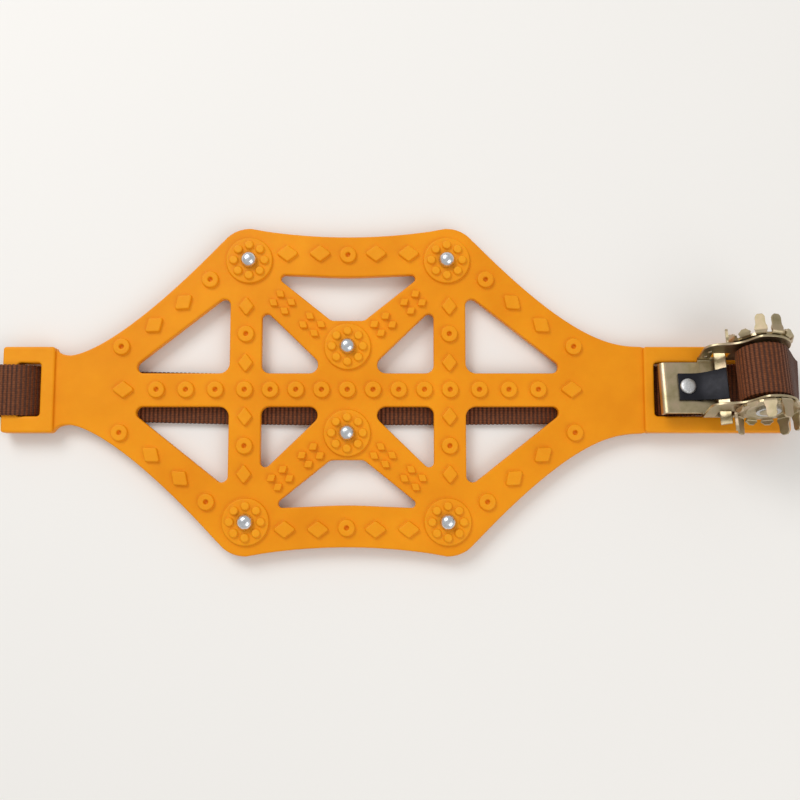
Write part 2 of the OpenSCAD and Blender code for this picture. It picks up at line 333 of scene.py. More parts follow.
def zinc_material():
    """Yellow zinc plate over stamped steel: olive gold with rosy and grey patches."""
    material, tree, shader = principled("yellow_zinc", (0.46, 0.39, 0.25), 0.36, 1.0)
    patches = ramp(tree, noise(tree, 130, 4, 0.6), (0.28, (0.34, 0.285, 0.155)), (0.5, (0.47, 0.39, 0.245)),
                   (0.68, (0.55, 0.42, 0.29)), (0.85, (0.48, 0.47, 0.38)))
    tree.links.new(patches, shader.inputs["Base Color"])
    tree.links.new(value_range(tree, noise(tree, 420, 4), 0.26, 0.50), shader.inputs["Roughness"])
    drawn = bump(tree, shader, noise(tree, 900, 3, stretch=(0.25, 1, 1)), 0.12, 0.0002)
    bump(tree, shader, noise(tree, 2600, 2), 0.10, 0.0001, drawn)
    return material


def spring_material():
    """Blackened spring steel with a dull sheen and faint rolling marks."""
    material, tree, shader = principled(
        "spring_steel", (0.010, 0.010, 0.015), 0.36, 0.3, Specular_IOR_Level=0.3)
    oxide = ramp(tree, noise(tree, 260, 4), (0.3, (0.005, 0.005, 0.009)), (0.8, (0.014, 0.014, 0.022)))
    tree.links.new(oxide, shader.inputs["Base Color"])
    tree.links.new(value_range(tree, noise(tree, 500, 3), 0.32, 0.55), shader.inputs["Roughness"])
    bump(tree, shader, noise(tree, 1400, 3, stretch=(0.2, 1, 1)), 0.15, 0.0002)
    return material


def rivet_material():
    """Pale plated rivet with a finely pitted face."""
    material, tree, shader = principled("bright_steel", (0.62, 0.63, 0.64), 0.42, 1.0)
    pits = ramp(tree, noise(tree, 1600, 4, 0.7), (0.3, (0.42, 0.43, 0.44)), (0.7, (0.80, 0.80, 0.80)))
    tree.links.new(pits, shader.inputs["Base Color"])
    tree.links.new(value_range(tree, noise(tree, 1200, 3), 0.30, 0.56), shader.inputs["Roughness"])
    bump(tree, shader, noise(tree, 2200, 4, 0.7), 0.5, 0.0002)
    return material


RUBBER = rubber_material()
STUD = stud_material()
WEBBING = webbing_material()
ZINC = zinc_material()
SPRING = spring_material()
BRIGHT = rivet_material()


# ---------------------------------------------------------------- mesh tools

def add_object(name, mesh):
    """Puts a smooth-shaded mesh in the scene."""
    mesh.polygons.foreach_set("use_smooth", [True] * len(mesh.polygons))
    obj = bpy.data.objects.new(name, mesh)
    bpy.context.collection.objects.link(obj)
    return obj


def make(name, verts, faces, material=None, uvs=None):
    """An object from points in millimetres."""
    mesh = bpy.data.meshes.new(name)
    mesh.from_pydata([tuple(c * MM for c in v) for v in verts], [], faces)
    if uvs:
        layer = mesh.uv_layers.new(name="UVMap")
        for loop in mesh.loops:
            layer.data[loop.index].uv = uvs[loop.vertex_index]
    mesh.validate()
    if material:
        mesh.materials.append(material)
    return add_object(name, mesh)


def apply_modifiers(obj):
    """Turns an object's modifiers into mesh."""
    graph = bpy.context.evaluated_depsgraph_get()
    mesh = bpy.data.meshes.new_from_object(obj.evaluated_get(graph))
    obj.modifiers.clear()
    obj.data = mesh


def join(name, parts):
    """One object from several, whose meshes are simply put together."""
    verts, faces = [], []
    for part in parts:
        start = len(verts)
        verts += [tuple(v.co / MM) for v in part.data.vertices]
        faces += [tuple(start + i for i in p.vertices) for p in part.data.polygons]
        bpy.data.objects.remove(part)
    return make(name, verts, faces)


def combine(obj, other, operation):
    """Adds another solid to an object or cuts it away, and removes the other."""
    modifier = obj.modifiers.new("combine", "BOOLEAN")
    modifier.operation = operation
    modifier.solver = "MANIFOLD"
    modifier.object = other
    apply_modifiers(obj)
    bpy.data.objects.remove(other)


def crisp(obj, angle=35, bevel=0.0, weight=50):
    """Rounds hard edges if asked, and keeps flat faces flat under smooth shading."""
    if bevel:
        edge = obj.modifiers.new("edges", "BEVEL")
        edge.width = bevel * MM
        edge.segments = 2
        edge.limit_method = "ANGLE"
        edge.angle_limit = math.radians(angle)
        edge.use_clamp_overlap = True
        apply_modifiers(obj)
    obj.data.set_sharp_from_angle(angle=math.radians(angle))
    obj.data.polygons.foreach_set("use_smooth", [True] * len(obj.data.polygons))
    normals = obj.modifiers.new("normals", "WEIGHTED_NORMAL")
    normals.keep_sharp = True
    normals.weight = weight


def inset(loop, distance):
    """Moves a counterclockwise loop of points inwards."""
    out = []
    for i, p in enumerate(loop):
        before = (p - loop[i - 1]).normalized()
        after = (loop[(i + 1) % len(loop)] - p).normalized()
        left = Vector((-before.y, before.x))
        miter = (left + Vector((-after.y, after.x))).normalized()
        out.append(p + miter * (distance / max(miter.dot(left), 0.5)))
    return out


def slab(name, outer, holes, profile, place=None):
    """A closed solid between loops. Profile lists (inset, height) from the bottom up."""
    work = bmesh.new()
    rims = {0: [], len(profile) - 1: []}
    for loop, side in [(outer, 1)] + [(hole, -1) for hole in holes]:
        rings = [[work.verts.new((p.x, p.y, z)) for p in inset(loop, distance * side)]
                 for distance, z in profile]
        n = len(loop)
        for low, high in zip(rings, rings[1:]):
            for i in range(n):
                work.faces.new((low[i], low[(i + 1) % n], high[(i + 1) % n], high[i]))
        for level in rims:
            ring = rings[level]
            rims[level] += [work.edges.get((ring[i], ring[(i + 1) % n])) for i in range(n)]
    for edges in rims.values():
        bmesh.ops.triangle_fill(work, use_beauty=True, use_dissolve=False, edges=edges)
    for v in work.verts:
        v.co = (place(v.co) if place else v.co) * MM
    bmesh.ops.recalc_face_normals(work, faces=work.faces)
    mesh = bpy.data.meshes.new(name)
    work.to_mesh(mesh)
    work.free()
    return add_object(name, mesh)


def on_arc(x, y, radius, degrees):
    """A point at an angle on a circle round (x, y)."""
    a = math.radians(degrees)
    return Vector((x + radius * math.cos(a), y + radius * math.sin(a)))


def circle(centre, radius, n=48):
    """A counterclockwise loop."""
    return [Vector((centre[0] + radius * math.cos(2 * math.pi * i / n),
                    centre[1] + radius * math.sin(2 * math.pi * i / n))) for i in range(n)]


def rounded(corners, steps=10):
    """A counterclockwise loop whose corners (x, y, radius) are rounded by tangent arcs."""
    loop = []
    for i, (x, y, r) in enumerate(corners):
        p = Vector((x, y))
        u = (Vector(corners[i - 1][:2]) - p).normalized()
        v = (Vector(corners[(i + 1) % len(corners)][:2]) - p).normalized()
        half = math.acos(max(-1, min(1, u.dot(v)))) / 2
        centre = p + (u + v).normalized() * r / math.sin(half)
        start = p + u * r / math.tan(half) - centre
        way = 1 if u.x * v.y - u.y * v.x < 0 else -1
        sweep = way * (math.pi - 2 * half)
        for k in range(steps + 1):
            loop.append(centre + Matrix.Rotation(sweep * k / steps, 2) @ start)
    return loop


def ccw(loop):
    """The loop, counterclockwise."""
    area = sum(loop[i - 1].x * p.y - p.x * loop[i - 1].y for i, p in enumerate(loop))
    return loop if area > 0 else loop[::-1]


def moved(loop, at, degrees=0):
    """The loop, turned about the origin and then moved."""
    turn = Matrix.Rotation(math.radians(degrees), 2)
    return [Vector(at) + turn @ p for p in loop]


def bezier(a, b, c, d, n):
    """Points along a cubic curve from a to d, in n steps."""
    a, b, c, d = (Vector(p) for p in (a, b, c, d))
    return [(1 - t) ** 3 * a + 3 * (1 - t) ** 2 * t * b + 3 * (1 - t) * t * t * c + t ** 3 * d
            for t in (i / n for i in range(n + 1))]


def revolve(name, profile, place, material, n=64):
    """A closed turned solid. Profile lists (radius, height) upwards, and starts and ends on the axis."""
    verts = [(0, 0, profile[0][1])]
    inner = profile[1:-1]
    for r, z in inner:
        verts += [(r * math.cos(2 * math.pi * i / n), r * math.sin(2 * math.pi * i / n), z) for i in range(n)]
    verts.append((0, 0, profile[-1][1]))
    faces = []
    for i in range(n):
        j = (i + 1) % n
        faces.append((0, 1 + j, 1 + i))
        for k in range(len(inner) - 1):
            low, high = 1 + k * n, 1 + (k + 1) * n
            faces.append((low + i, low + j, high + j, high + i))
        top = 1 + (len(inner) - 1) * n
        faces.append((top + i, top + j, len(verts) - 1))
    return make(name, [tuple(place(Vector(v))) for v in verts], faces, material)


# ---------------------------------------------------------------- lattice mat

def edge_profile(z0, z1, low, high):
    """Rounded lower and upper edges, with a narrow flat border that keeps the faces flat."""
    turns = [math.radians(a) for a in (0, 30, 60, 90)]
    bottom = [(low * (1 - math.sin(a)), z0 + low * (1 - math.cos(a))) for a in turns]
    top = [(high * (1 - math.cos(a)), z1 - high * (1 - math.sin(a))) for a in turns]
    return [(low + 0.2, z0)] + bottom + top + [(high + 0.25, z1)]


def lug_profile(base, rise, soft=0.55, foot=0.5, reach=1.0):
    """A lug sunk in the surface, with a fillet round its foot and a soft top edge."""
    top = base + rise
    edge = [(0.07, top - soft), (0.2, top - 0.4 * soft), (0.42, top - 0.1 * soft), (0.66, top), (0.8, top)]
    return [(-foot, base - 0.8), (-foot, base - 0.02), (-0.5 * foot, base + 0.07), (-0.2 * foot, base + 0.24),
            (0, base + 0.5)] + [(reach * d, z) for d, z in edge]


def upper_edge(wing, last_part):
    """The outline's upper half on one side, from the middle out."""
    long_edge = [Vector((x, 75.5 + 4.2 * (x / 48) ** 2)) for x in range(0, 41, 4)]
    corner = [on_arc(*CORNER, CORNER_R, a) for a in range(92, 37, -6)]
    return long_edge + corner + wing + last_part


def lattice_outline():
    """The thin part's outline; both ends stop inside the end frames."""
    right_wing = bezier(WING_START, (118.1, 14.5), (134.2, 22.2), (148, FRAME_HALF), 28)
    right = upper_edge([p for p in right_wing if p.x < FRAME_RIGHT_X], [Vector((145, FRAME_HALF - 0.4))])
    left_wing = bezier(WING_START, (108.7, 22.7), (129, 17.4), (134, NECK_HALF), 26)
    neck = bezier((134.5, NECK_HALF), (138, NECK_HALF), (140.6, 18.2), (141.3, FRAME_HALF - 0.6), 8)
    left = upper_edge(left_wing + neck, [Vector((144, FRAME_HALF - 0.8))])
    top = right[::-1] + [Vector((-p.x, p.y)) for p in left[1:]]
    return top + [Vector((p.x, -p.y)) for p in top[::-1]]


def quadrants(loop):
    """A loop and its three mirror images."""
    return [ccw([Vector((p.x * sx, p.y * sy)) for p in loop]) for sx in (1, -1) for sy in (1, -1)]


def lattice_holes():
    """The two windows and the four pairs of triangles."""
    window = rounded([(-8, 33.9, 4), (8, 33.9, 4), (36.8, 57, 2), (0, 55.4, 200), (-36.8, 57, 2)])
    holes = [ccw(window), ccw([Vector((p.x, -p.y)) for p in window])]
    holes += quadrants(rounded([(8.2, RAIL_HALF, 4.2), (41.7, RAIL_HALF, 4), (41.7, 40.6, 2.4)]))
    holes += quadrants(rounded([(57.2, RAIL_HALF, 5), (107.5, RAIL_HALF, 3), (57.2, 47.8, 3)]))
    return holes


def rectangle(x0, x1, half, r):
    """A loop from x0 to x1, as wide on both sides of the x axis, with rounded corners."""
    return rounded([(x0, -half, r), (x1, -half, r), (x1, half, r), (x0, half, r)])


def rhombus(length, width, r):
    """A loop round the origin, with its length along x and its corners rounded."""
    return rounded([(length / 2, 0, r), (0, width / 2, r), (-length / 2, 0, r), (0, -width / 2, r)], 4)


# The centre of each boss, from the box of the stud that stands in it
BOSSES = [tuple(sum(c) / 2 for c in zip(*(v.xy for v in node_box(f"stud_{i}")))) for i in range(1, 7)]


def tread():
    """Every lug as (outline, holes, is it small): rings, rhombi, and clusters along the diagonals."""
    lugs = []

    def ring(x, y):
        outline = ccw(moved(circle((0, 0), RING_R, 40), (x, y)))
        lugs.append((outline, [circle((x, y), RING_HOLE_R, 24)], False))

    def lozenge(size, x, y, degrees=0, small=False):
        lugs.append((ccw(moved(rhombus(*size), (x, y), degrees)), [], small))

    for i in range(-4, 5):
        ring(RING_PITCH * i, 0)
    for s in (-1, 1):
        for x in (63.7, 77.9, 92.1):
            ring(s * x, 0)
        lozenge(RHOMBUS, s * 108.1, 0)
        ring(0, s * 66.3)
        for t in (-1, 1):
            for x in (13.7, 29.6):
                lozenge(RHOMBUS, s * x, t * 67)
            for y in (13.1, 40.8):
                lozenge(COLUMN_RHOMBUS, s * COLUMN_X, t * y)
            ring(s * COLUMN_X, t * 27.2)
            ring(s * 67.1, t * 54)
            lozenge(RHOMBUS, s * 79.9, t * 42.7, -41 * s * t)
            lozenge(RHOMBUS, s * 93.9, t * 31.5, -39 * s * t)
            ring(s * 109.4, t * 20.9)
            for centre in CLUSTERS:
                turn = Matrix.Rotation(math.radians(CLUSTER_TURN), 2)
                for i in (-1, 1):
                    for j in (-1, 1):
                        p = Vector(centre) + turn @ Vector((i * CLUSTER_HALF[0], j * CLUSTER_HALF[1]))
                        lozenge(CLUSTER_RHOMBUS, s * p.x, t * p.y, CLUSTER_TURN * s * t, small=True)
    return lugs


def build_mat():
    """The lattice with its end frames, lugs and bosses, and the pockets in which the studs are moulded."""
    plate = slab("rubber_lattice", lattice_outline(), lattice_holes(),
                 edge_profile(MAT_Z + 0.01, MAT_TOP, 0.5, 0.75))
    parts = []
    for x0, x1, slot in ((FRAME_RIGHT_X, END_RIGHT, SLOT_RIGHT), (END_LEFT, FRAME_LEFT_X, SLOT_LEFT)):
        parts.append(slab("block", rectangle(x0, x1, FRAME_HALF, 1.5), [rectangle(*slot, SLOT_HALF, 1.6)],
                          edge_profile(MAT_Z, FRAME_TOP, 0.5, 0.9)))
    large_lug = lug_profile(MAT_TOP, LUG_H)
    small_lug = lug_profile(MAT_TOP, LUG_H, 0.4, 0.3, 0.6)
    for loop, holes, small in tread():
        parts.append(slab("lug", loop, holes, small_lug if small else large_lug))
    for b in BOSSES:
        parts.append(slab("boss", circle(b, BOSS_R, 80), [circle(b, NECK_R + 0.05, 32)],
                          lug_profile(MAT_TOP, BOSS_H, 0.45)))
    combine(plate, join("raised", parts), "UNION")
    beads = []
    for x, y in BOSSES:
        for k in range(BEADS):
            a = math.radians(360 // BEADS * k)
            centre = (x + BEAD_RING_R * math.cos(a), y + BEAD_RING_R * math.sin(a))
            beads.append(slab("bead", circle(centre, BEAD_R, 28), [], lug_profile(BOSS_TOP, BEAD_H, 0.6)))
    combine(plate, join("beads", beads), "UNION")
    cuts = []
    pocket = [(0, -1), (FLANGE_R, -1), (FLANGE_R, FLANGE_T), (NECK_R, FLANGE_T), (NECK_R, 8), (0, 8)]
    for b in BOSSES:
        cuts.append(revolve("cut", pocket, lambda v, b=b: Vector((b[0], b[1], MAT_Z)) + v, None, 48))
    combine(plate, join("cuts", cuts), "DIFFERENCE")
    plate.data.materials.clear()
    plate.data.materials.append(RUBBER)
    crisp(plate, 40, weight=100)
    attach(plate, "cleat")
    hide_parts("mat")


def build_studs():
    """Six studs: a flange in the back, a neck, and a domed head with a small flat worn on top."""
    low, high = node_box("stud_1")
    head = [(NECK_R, BOSS_TOP + 0.02), (3.5, BOSS_TOP + 0.02), (3.82, BOSS_TOP + 0.2), (3.9, BOSS_TOP + 0.55),
            (3.88, BOSS_TOP + 1.5), (3.7, BOSS_TOP + 2.3)]
    top = high.z
    dome = [(3.3, top - 1.5), (2.75, top - 0.85), (2.05, top - 0.38), (1.5, top - 0.14), (1.05, top - 0.05),
            (0.8, top)]
    flange = [(0, low.z), (FLANGE_R - 0.3, low.z), (FLANGE_R - 0.02, low.z + 0.3),
              (FLANGE_R - 0.02, MAT_Z + FLANGE_T), (NECK_R, MAT_Z + FLANGE_T)]
    profile = flange + head + dome + [(0, top)]
    for i, b in enumerate(BOSSES, 1):
        stud = revolve(f"ice_stud_{i}", profile, lambda v, b=b: Vector((b[0], b[1], 0)) + v, STUD)
        crisp(stud, 50)
        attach(stud, "cleat")
        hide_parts(f"stud_{i}")


# ---------------------------------------------------------------- webbing

# Heights of the middle of the two runs behind the mat
UPPER_RUN = STRAP_T * 1.5 + GAP
LOWER_RUN = STRAP_T / 2
# Stops of the route: (x, y) where the height is that of a run, or else (x, y, z, share of the ratchet's lean)
DRIFT = [(120, -3), (60, -4), (-40, -4), (-93, -3), (-134, -2), (-143, -0.6)]
AT_BRACKET = [(169.3, -0.5, 14.22, 1), (158.3, -0.5, 14.22, 1), (155, -0.5, 13.4, 0.95),
              (153, -0.4, 11, 0.8), (151.7, -0.3, 8, 0.55), (150.7, -0.3, 5.4, 0.3), (149.4, -0.3, 3.45, 0.1),
              (147.5, -0.3, 2.65, 0), (144.5, -0.5, UPPER_RUN, 0)]
IN_LEFT_SLOT = [(-147.8, -0.4, 2.6, 0), (-149.5, -0.4, 3.9, 0), (-152.7, -0.4, 7, 0),
                (-156.3, -0.4, 9.9, 0), (-159, -0.4, 10.85, 0), (-163, -0.4, 10.85, 0)]
RIGHT_END = [(150, -0.5), (190, 1.2), (208, 1.5)]
CLIMB = [(216.7, 1.5, 9, 0), (214.6, 1.7, 13.5, 0.15), (211.2, 2.5, 20.5, 0.45), (207.7, 3.6, 28, 0.75)]
# The turns round the two end bars: (x of the centre, radius)
TURN_LEFT = (-166, (FRAME_TOP + GAP) / 2)
TURN_RIGHT = (212.6, 4.15)
# Where the last turn meets the spool and where it ends, in degrees round the spool
WRAP_START = 26
WRAP_END = 234
COIL_POINTS_PER_TURN = 60


def bend_stops(x, y, radius, a0, a1, n):
    """Stops along an arc that starts or ends at the lower run."""
    out = []
    for i in range(n + 1):
        a = math.radians(a0 + (a1 - a0) * i / n)
        out.append((x + radius * math.cos(a), y, LOWER_RUN + radius + radius * math.sin(a), 0))
    return out


def on_spool(degrees, radius):
    """A stop at an angle and a radius round the spool."""
    a = math.radians(degrees)
    p = on_ratchet(SPOOL_LOCAL + Vector((radius * math.cos(a), 0, radius * math.sin(a))))
    return (p.x, p.y, p.z, 1)


def strap_route():
    """The stops of the strap, from its fixed end to the end of its last turn on the spool."""
    wrap = COIL_R + 0.12 + STRAP_T / 2
    return (AT_BRACKET + [(x, y, UPPER_RUN, 0) for x, y in DRIFT] + IN_LEFT_SLOT
            + bend_stops(TURN_LEFT[0], -0.4, TURN_LEFT[1], 90, 270, 8)
            + [(x, y, LOWER_RUN, 0) for x, y in DRIFT[::-1]] + [(x, y, LOWER_RUN, 0) for x, y in RIGHT_END]
            + bend_stops(TURN_RIGHT[0], 1.5, TURN_RIGHT[1], -90, 0, 4) + CLIMB
            + [on_spool(a, wrap) for a in range(WRAP_START, WRAP_END + 1, 16)])


SPLINE_STEPS = 14


def smooth(stops):
    """Points along a centripetal spline through the stops."""
    stops = [Vector(s) for s in stops]
    ends = [stops[0] * 2 - stops[1]] + stops + [stops[-1] * 2 - stops[-2]]
    out = []
    for p0, p1, p2, p3 in zip(ends, ends[1:], ends[2:], ends[3:]):
        t0 = 0.0
        t1 = t0 + max((p1 - p0).length, 1e-6) ** 0.5
        t2 = t1 + max((p2 - p1).length, 1e-6) ** 0.5
        t3 = t2 + max((p3 - p2).length, 1e-6) ** 0.5
        for k in range(SPLINE_STEPS):
            t = t1 + (t2 - t1) * k / SPLINE_STEPS
            a1 = p0 * ((t1 - t) / (t1 - t0)) + p1 * ((t - t0) / (t1 - t0))
            a2 = p1 * ((t2 - t) / (t2 - t1)) + p2 * ((t - t1) / (t2 - t1))
            a3 = p2 * ((t3 - t) / (t3 - t2)) + p3 * ((t - t2) / (t3 - t2))
            b1 = a1 * ((t2 - t) / (t2 - t0)) + a2 * ((t - t0) / (t2 - t0))
            b2 = a2 * ((t3 - t) / (t3 - t1)) + a3 * ((t - t1) / (t3 - t1))
            out.append(b1 * ((t2 - t) / (t2 - t1)) + b2 * ((t - t1) / (t2 - t1)))
    return out + [stops[-1]]


def evenly(points, step):
    """Points at equal distances along a polyline of 4-D stops."""
    out, carried = [points[0]], 0.0
    for a, b in zip(points, points[1:]):
        length = (b.xyz - a.xyz).length
        while length and carried + length >= step:
            a = a.lerp(b, (step - carried) / length)
            out.append(a)
            length = (b.xyz - a.xyz).length
            carried = 0.0
        carried += length
    return out


# Across the webbing: place as a share of the half-width, and thickness as a share of the full one
SECTION = [(-1, 0.3), (-0.985, 0.7), (-0.94, 0.95), (-0.6, 1), (0, 1), (0.6, 1), (0.94, 0.95), (0.985, 0.7),
           (1, 0.3)]
STEPS_PER_RIB = 8
GROOVE_HALF_T = 0.44
RIB_HALF_T = 0.30
SCALLOP = 0.30


def webbing(name, points):
    """Webbing along a route, with ribs across it, a scalloped selvedge and a last end that thins out."""
    verts, faces, uvs = [], [], []
    n = len(points)
    ring = 2 * len(SECTION)
    for i, p in enumerate(points):
        ahead = (points[min(i + 1, n - 1)].xyz - points[max(i - 1, 0)].xyz).normalized()
        lean = p.w * LEAN
        across = Vector((0, math.cos(lean), -math.sin(lean)))
        up = ahead.cross(across).normalized()
        turn = i / STEPS_PER_RIB
        rib = abs(math.sin(math.pi * turn)) ** 0.7
        uneven = 1 + 0.06 * math.sin(12.9898 * math.floor(turn)) * math.sin(4.1 * math.floor(turn))
        half_t = GROOVE_HALF_T + RIB_HALF_T * rib * uneven
        half_t *= min(1, 0.25 + (n - 1 - i) / (3 * STEPS_PER_RIB))
        half_w = STRAP_W / 2 - SCALLOP + SCALLOP * rib
        for side, shares in ((1, SECTION), (-1, SECTION[::-1])):
            for v, thick in shares:
                point = p.xyz + across * (v * half_w) + up * (side * thick * half_t)
                verts.append((point.x, point.y, max(point.z, 0)))
                uvs.append((turn, v * half_w))
    for i in range(n - 1):
        for k in range(ring):
            j = (k + 1) % ring
            faces.append((i * ring + k, (i + 1) * ring + k, (i + 1) * ring + j, i * ring + j))
    faces.append(tuple(range(ring)))
    faces.append(tuple((n - 1) * ring + k for k in reversed(range(ring))))
    return make(name, verts, faces, WEBBING, uvs)


def build_strap():
    """Everything from the clamped end to the end of the last turn on the spool."""
    strap = webbing("webbing_strap", evenly(smooth(strap_route()), RIB_PITCH / STEPS_PER_RIB))
    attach(strap, "cleat")
    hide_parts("strap")


def build_coil():
    """The turns under the last one, wound as a spiral on the slotted spindle."""
    layer = STRAP_T + 0.05
    outer = COIL_R - STRAP_T / 2
    inner = AXLE_R + STRAP_T / 2 + 0.05
    turns = (outer - inner) / layer
    count = int(turns * COIL_POINTS_PER_TURN)
    stops = [Vector(on_spool(WRAP_END - 360 * turns * (1 - k / count), inner + layer * turns * k / count))
             for k in range(count + 1)]
    coil = webbing("webbing_coil", evenly(stops, RIB_PITCH / STEPS_PER_RIB))
    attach(coil, "spool")
    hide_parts("strap_coil")


# ---------------------------------------------------------------- ratchet

def plate_profile(z0, z1):
    """Sheet metal from z0 to z1 with slightly rounded edges."""
    r = SHEET_EDGE_R
    lower = [(r + 0.15, z0), (r, z0), (0.3 * r, z0 + 0.3 * r), (0, z0 + r)]
    return lower + [(0, z1 - r), (0.3 * r, z1 - 0.3 * r), (r, z1), (r + 0.15, z1)]


def ear_loop():
    """One ear from the side, counterclockwise: a low front, a step up, and an arch over the spool."""
    cx, cz = SPOOL_LOCAL.x, SPOOL_LOCAL.z
    arch = [on_arc(cx, cz, EAR_R, a) for a in range(-68, 103, 5)]
    shoulder = bezier((cx - 3.4, cz + EAR_R - 0.45), (37.5, 27.5), (36, EAR_FRONT_H + 1.8),
                      (30, EAR_FRONT_H + 0.9), 10)
    front = bezier((29, EAR_FRONT_H + 0.8), (25, EAR_FRONT_H + 0.4), (20, EAR_FRONT_H), (EAR_X, 14.5), 8)
    foot = [Vector(p) for p in ((EAR_X, 1.6), (EAR_X + 0.5, 1.3), (38, 1.3), (44, 1.6))]
    return ccw(arch + shoulder + front + foot)


def build_bracket():
    """The plate, with its ears, the channel between them, its rolled front edge and its dimples."""
    hole = circle(SPOOL_LOCAL.xz, AXLE_R + 0.05, 48)
    (x0, z0), (x1, z1) = BAR_SLOT
    slot = rounded([(x0, z0, 0.6), (x1, z0, 0.6), (x1, z1, 0.6), (x0, z1, 0.6)], 4)
    parts = []
    for side in (-1, 1):
        def stand(v, side=side):
            return Vector((v.x, side * v.z, v.y))

        parts.append(slab("ear", ear_loop(), [hole, slot], plate_profile(EAR_Y, EAR_Y + EAR_T), stand))
    plate = slab("plate", rectangle(LIP_R, EAR_X + 1.2, PLATE_HALF, 0.4), [], plate_profile(0, PLATE_T))
    parts.append(bent_channel())
    combine(plate, join("channel", parts), "UNION")
    combine(plate, front_lip(), "UNION")
    combine(plate, dimples(), "UNION")
    finish_on_ratchet(plate, "ratchet_bracket", ZINC, "cleat", ["bracket"], 45)


def bent_channel():
    """The floor between the ears with its two round bends, as one strip."""
    def side(radius, y_wall, floor):
        centre = Vector((y_wall - radius, floor + radius))
        turn = [centre + radius * Vector((math.cos(math.radians(a)), -math.sin(math.radians(a))))
                for a in range(0, 91, 15)]
        return [Vector((y_wall, 2.6))] + turn

    outside = side(1.9, EAR_Y + EAR_T - 0.01, 0)
    inside = side(0.7, EAR_Y + 0.01, PLATE_T)
    section = outside + [Vector((-p.x, p.y)) for p in outside[::-1] + inside] + inside[::-1]
    return slab("channel", ccw(section), [], [(0, EAR_X), (0, PLATE_L)],
                place=lambda v: Vector((v.z, v.x, v.y)))


def fix_normals(obj):
    """Turns every face of a closed mesh outwards."""
    work = bmesh.new()
    work.from_mesh(obj.data)
    bmesh.ops.recalc_face_normals(work, faces=work.faces)
    work.to_mesh(obj.data)
    work.free()


def front_lip():
    """The plate's front edge, rolled down round a broad bend."""
    def bend(radius, angles):
        return [on_arc(LIP_R, PLATE_T - LIP_R, radius, a) for a in angles]

    section = bend(LIP_R, range(180, 89, -9)) + [Vector((LIP_R + 0.6, PLATE_T)), Vector((LIP_R + 0.6, 0.3))]
    section += bend(LIP_R - 1.2, range(90, 181, 15))
    side = [(0.3, PLATE_HALF), (0.1, PLATE_HALF - 0.1), (0, PLATE_HALF - 0.3)]
    profile = [(d, -y) for d, y in side] + [(d, y) for d, y in side[::-1]]
    return slab("lip", ccw(section), [], profile, place=lambda v: Vector((v.x, v.z, v.y)))


def dimples():
    """Two small stamped bumps on the inside of the rear ear."""
    bumps = []
    profile = [(0, -0.6), (1.35, -0.6), (1.35, 0.0), (1.15, 0.3), (0.75, 0.55), (0.35, 0.66), (0, 0.7)]
    for x, z in DIMPLES:
        def place(v, x=x, z=z):
            return Vector((x + v.x, EAR_Y - v.z, z + v.y))

        bumps.append(revolve("bump", profile, place, None, 24))
    both = join("bumps", bumps)
    fix_normals(both)
    return both


def finish_on_ratchet(obj, name, material, body, nodes, angle=40, bevel=0.0):
    """Moves a piece made in the ratchet's own frame to its place, and gives it its looks and body."""
    obj.name = name
    for v in obj.data.vertices:
        v.co = on_ratchet(v.co / MM) * MM
    obj.data.materials.clear()
    obj.data.materials.append(material)
    crisp(obj, angle, bevel)
    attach(obj, body)
    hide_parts(*nodes)


def strip(name, stations, thickness):
    """A bent sheet-metal strip. Each station is (along, up, slope in degrees, half-width)."""
    verts, faces = [], []
    for x, z, degrees, half in stations:
        a = math.radians(degrees)
        for side, off in ((-1, -1), (1, -1), (1, 1), (-1, 1)):
            verts.append((x - math.sin(a) * off * thickness / 2, side * half,
                          z + math.cos(a) * off * thickness / 2))
    last = 4 * (len(stations) - 1)
    for i in range(0, last, 4):
        faces += [(i + k, i + 4 + k, i + 4 + (k + 1) % 4, i + (k + 1) % 4) for k in range(4)]
    faces += [(0, 1, 2, 3), (last + 3, last + 2, last + 1, last)]
    obj = make(name, verts, faces)
    fix_normals(obj)
    return obj


def bent_tooth(length):
    """A tooth of a wheel: out along the disc, round a bend and past a broad root to a blunt chamfered tip."""
    centre = Vector((TAB_R - WHEEL_T / 2 - TAB_BEND_R, WHEEL_T / 2 + TAB_BEND_R))
    half = TAB_W / 2
    stations = [(WHEEL_R - 2.5, WHEEL_T / 2, 0, half)]
    for a in range(0, 91, 15):
        out = centre + TAB_BEND_R * Vector((math.sin(math.radians(a)), -math.cos(math.radians(a))))
        stations.append((out.x, out.y, a, half + TAB_FLARE * a / 90))
    tip = length + WHEEL_T
    if length == TAB_L:
        root = [(2.8, half + TAB_FLARE), (3.5, half + 0.45), (4.3, half + 0.1), (5, half), (tip - 1.6, half)]
        stations += [(centre.x + TAB_BEND_R, z, 90, w) for z, w in root]
    chamfer = [(0.8, 0.86), (0.2, 0.62), (0, 0.5)]
    stations += [(centre.x + TAB_BEND_R, tip - z, 90, w * half) for z, w in chamfer]
    return strip("tab", stations, WHEEL_T)


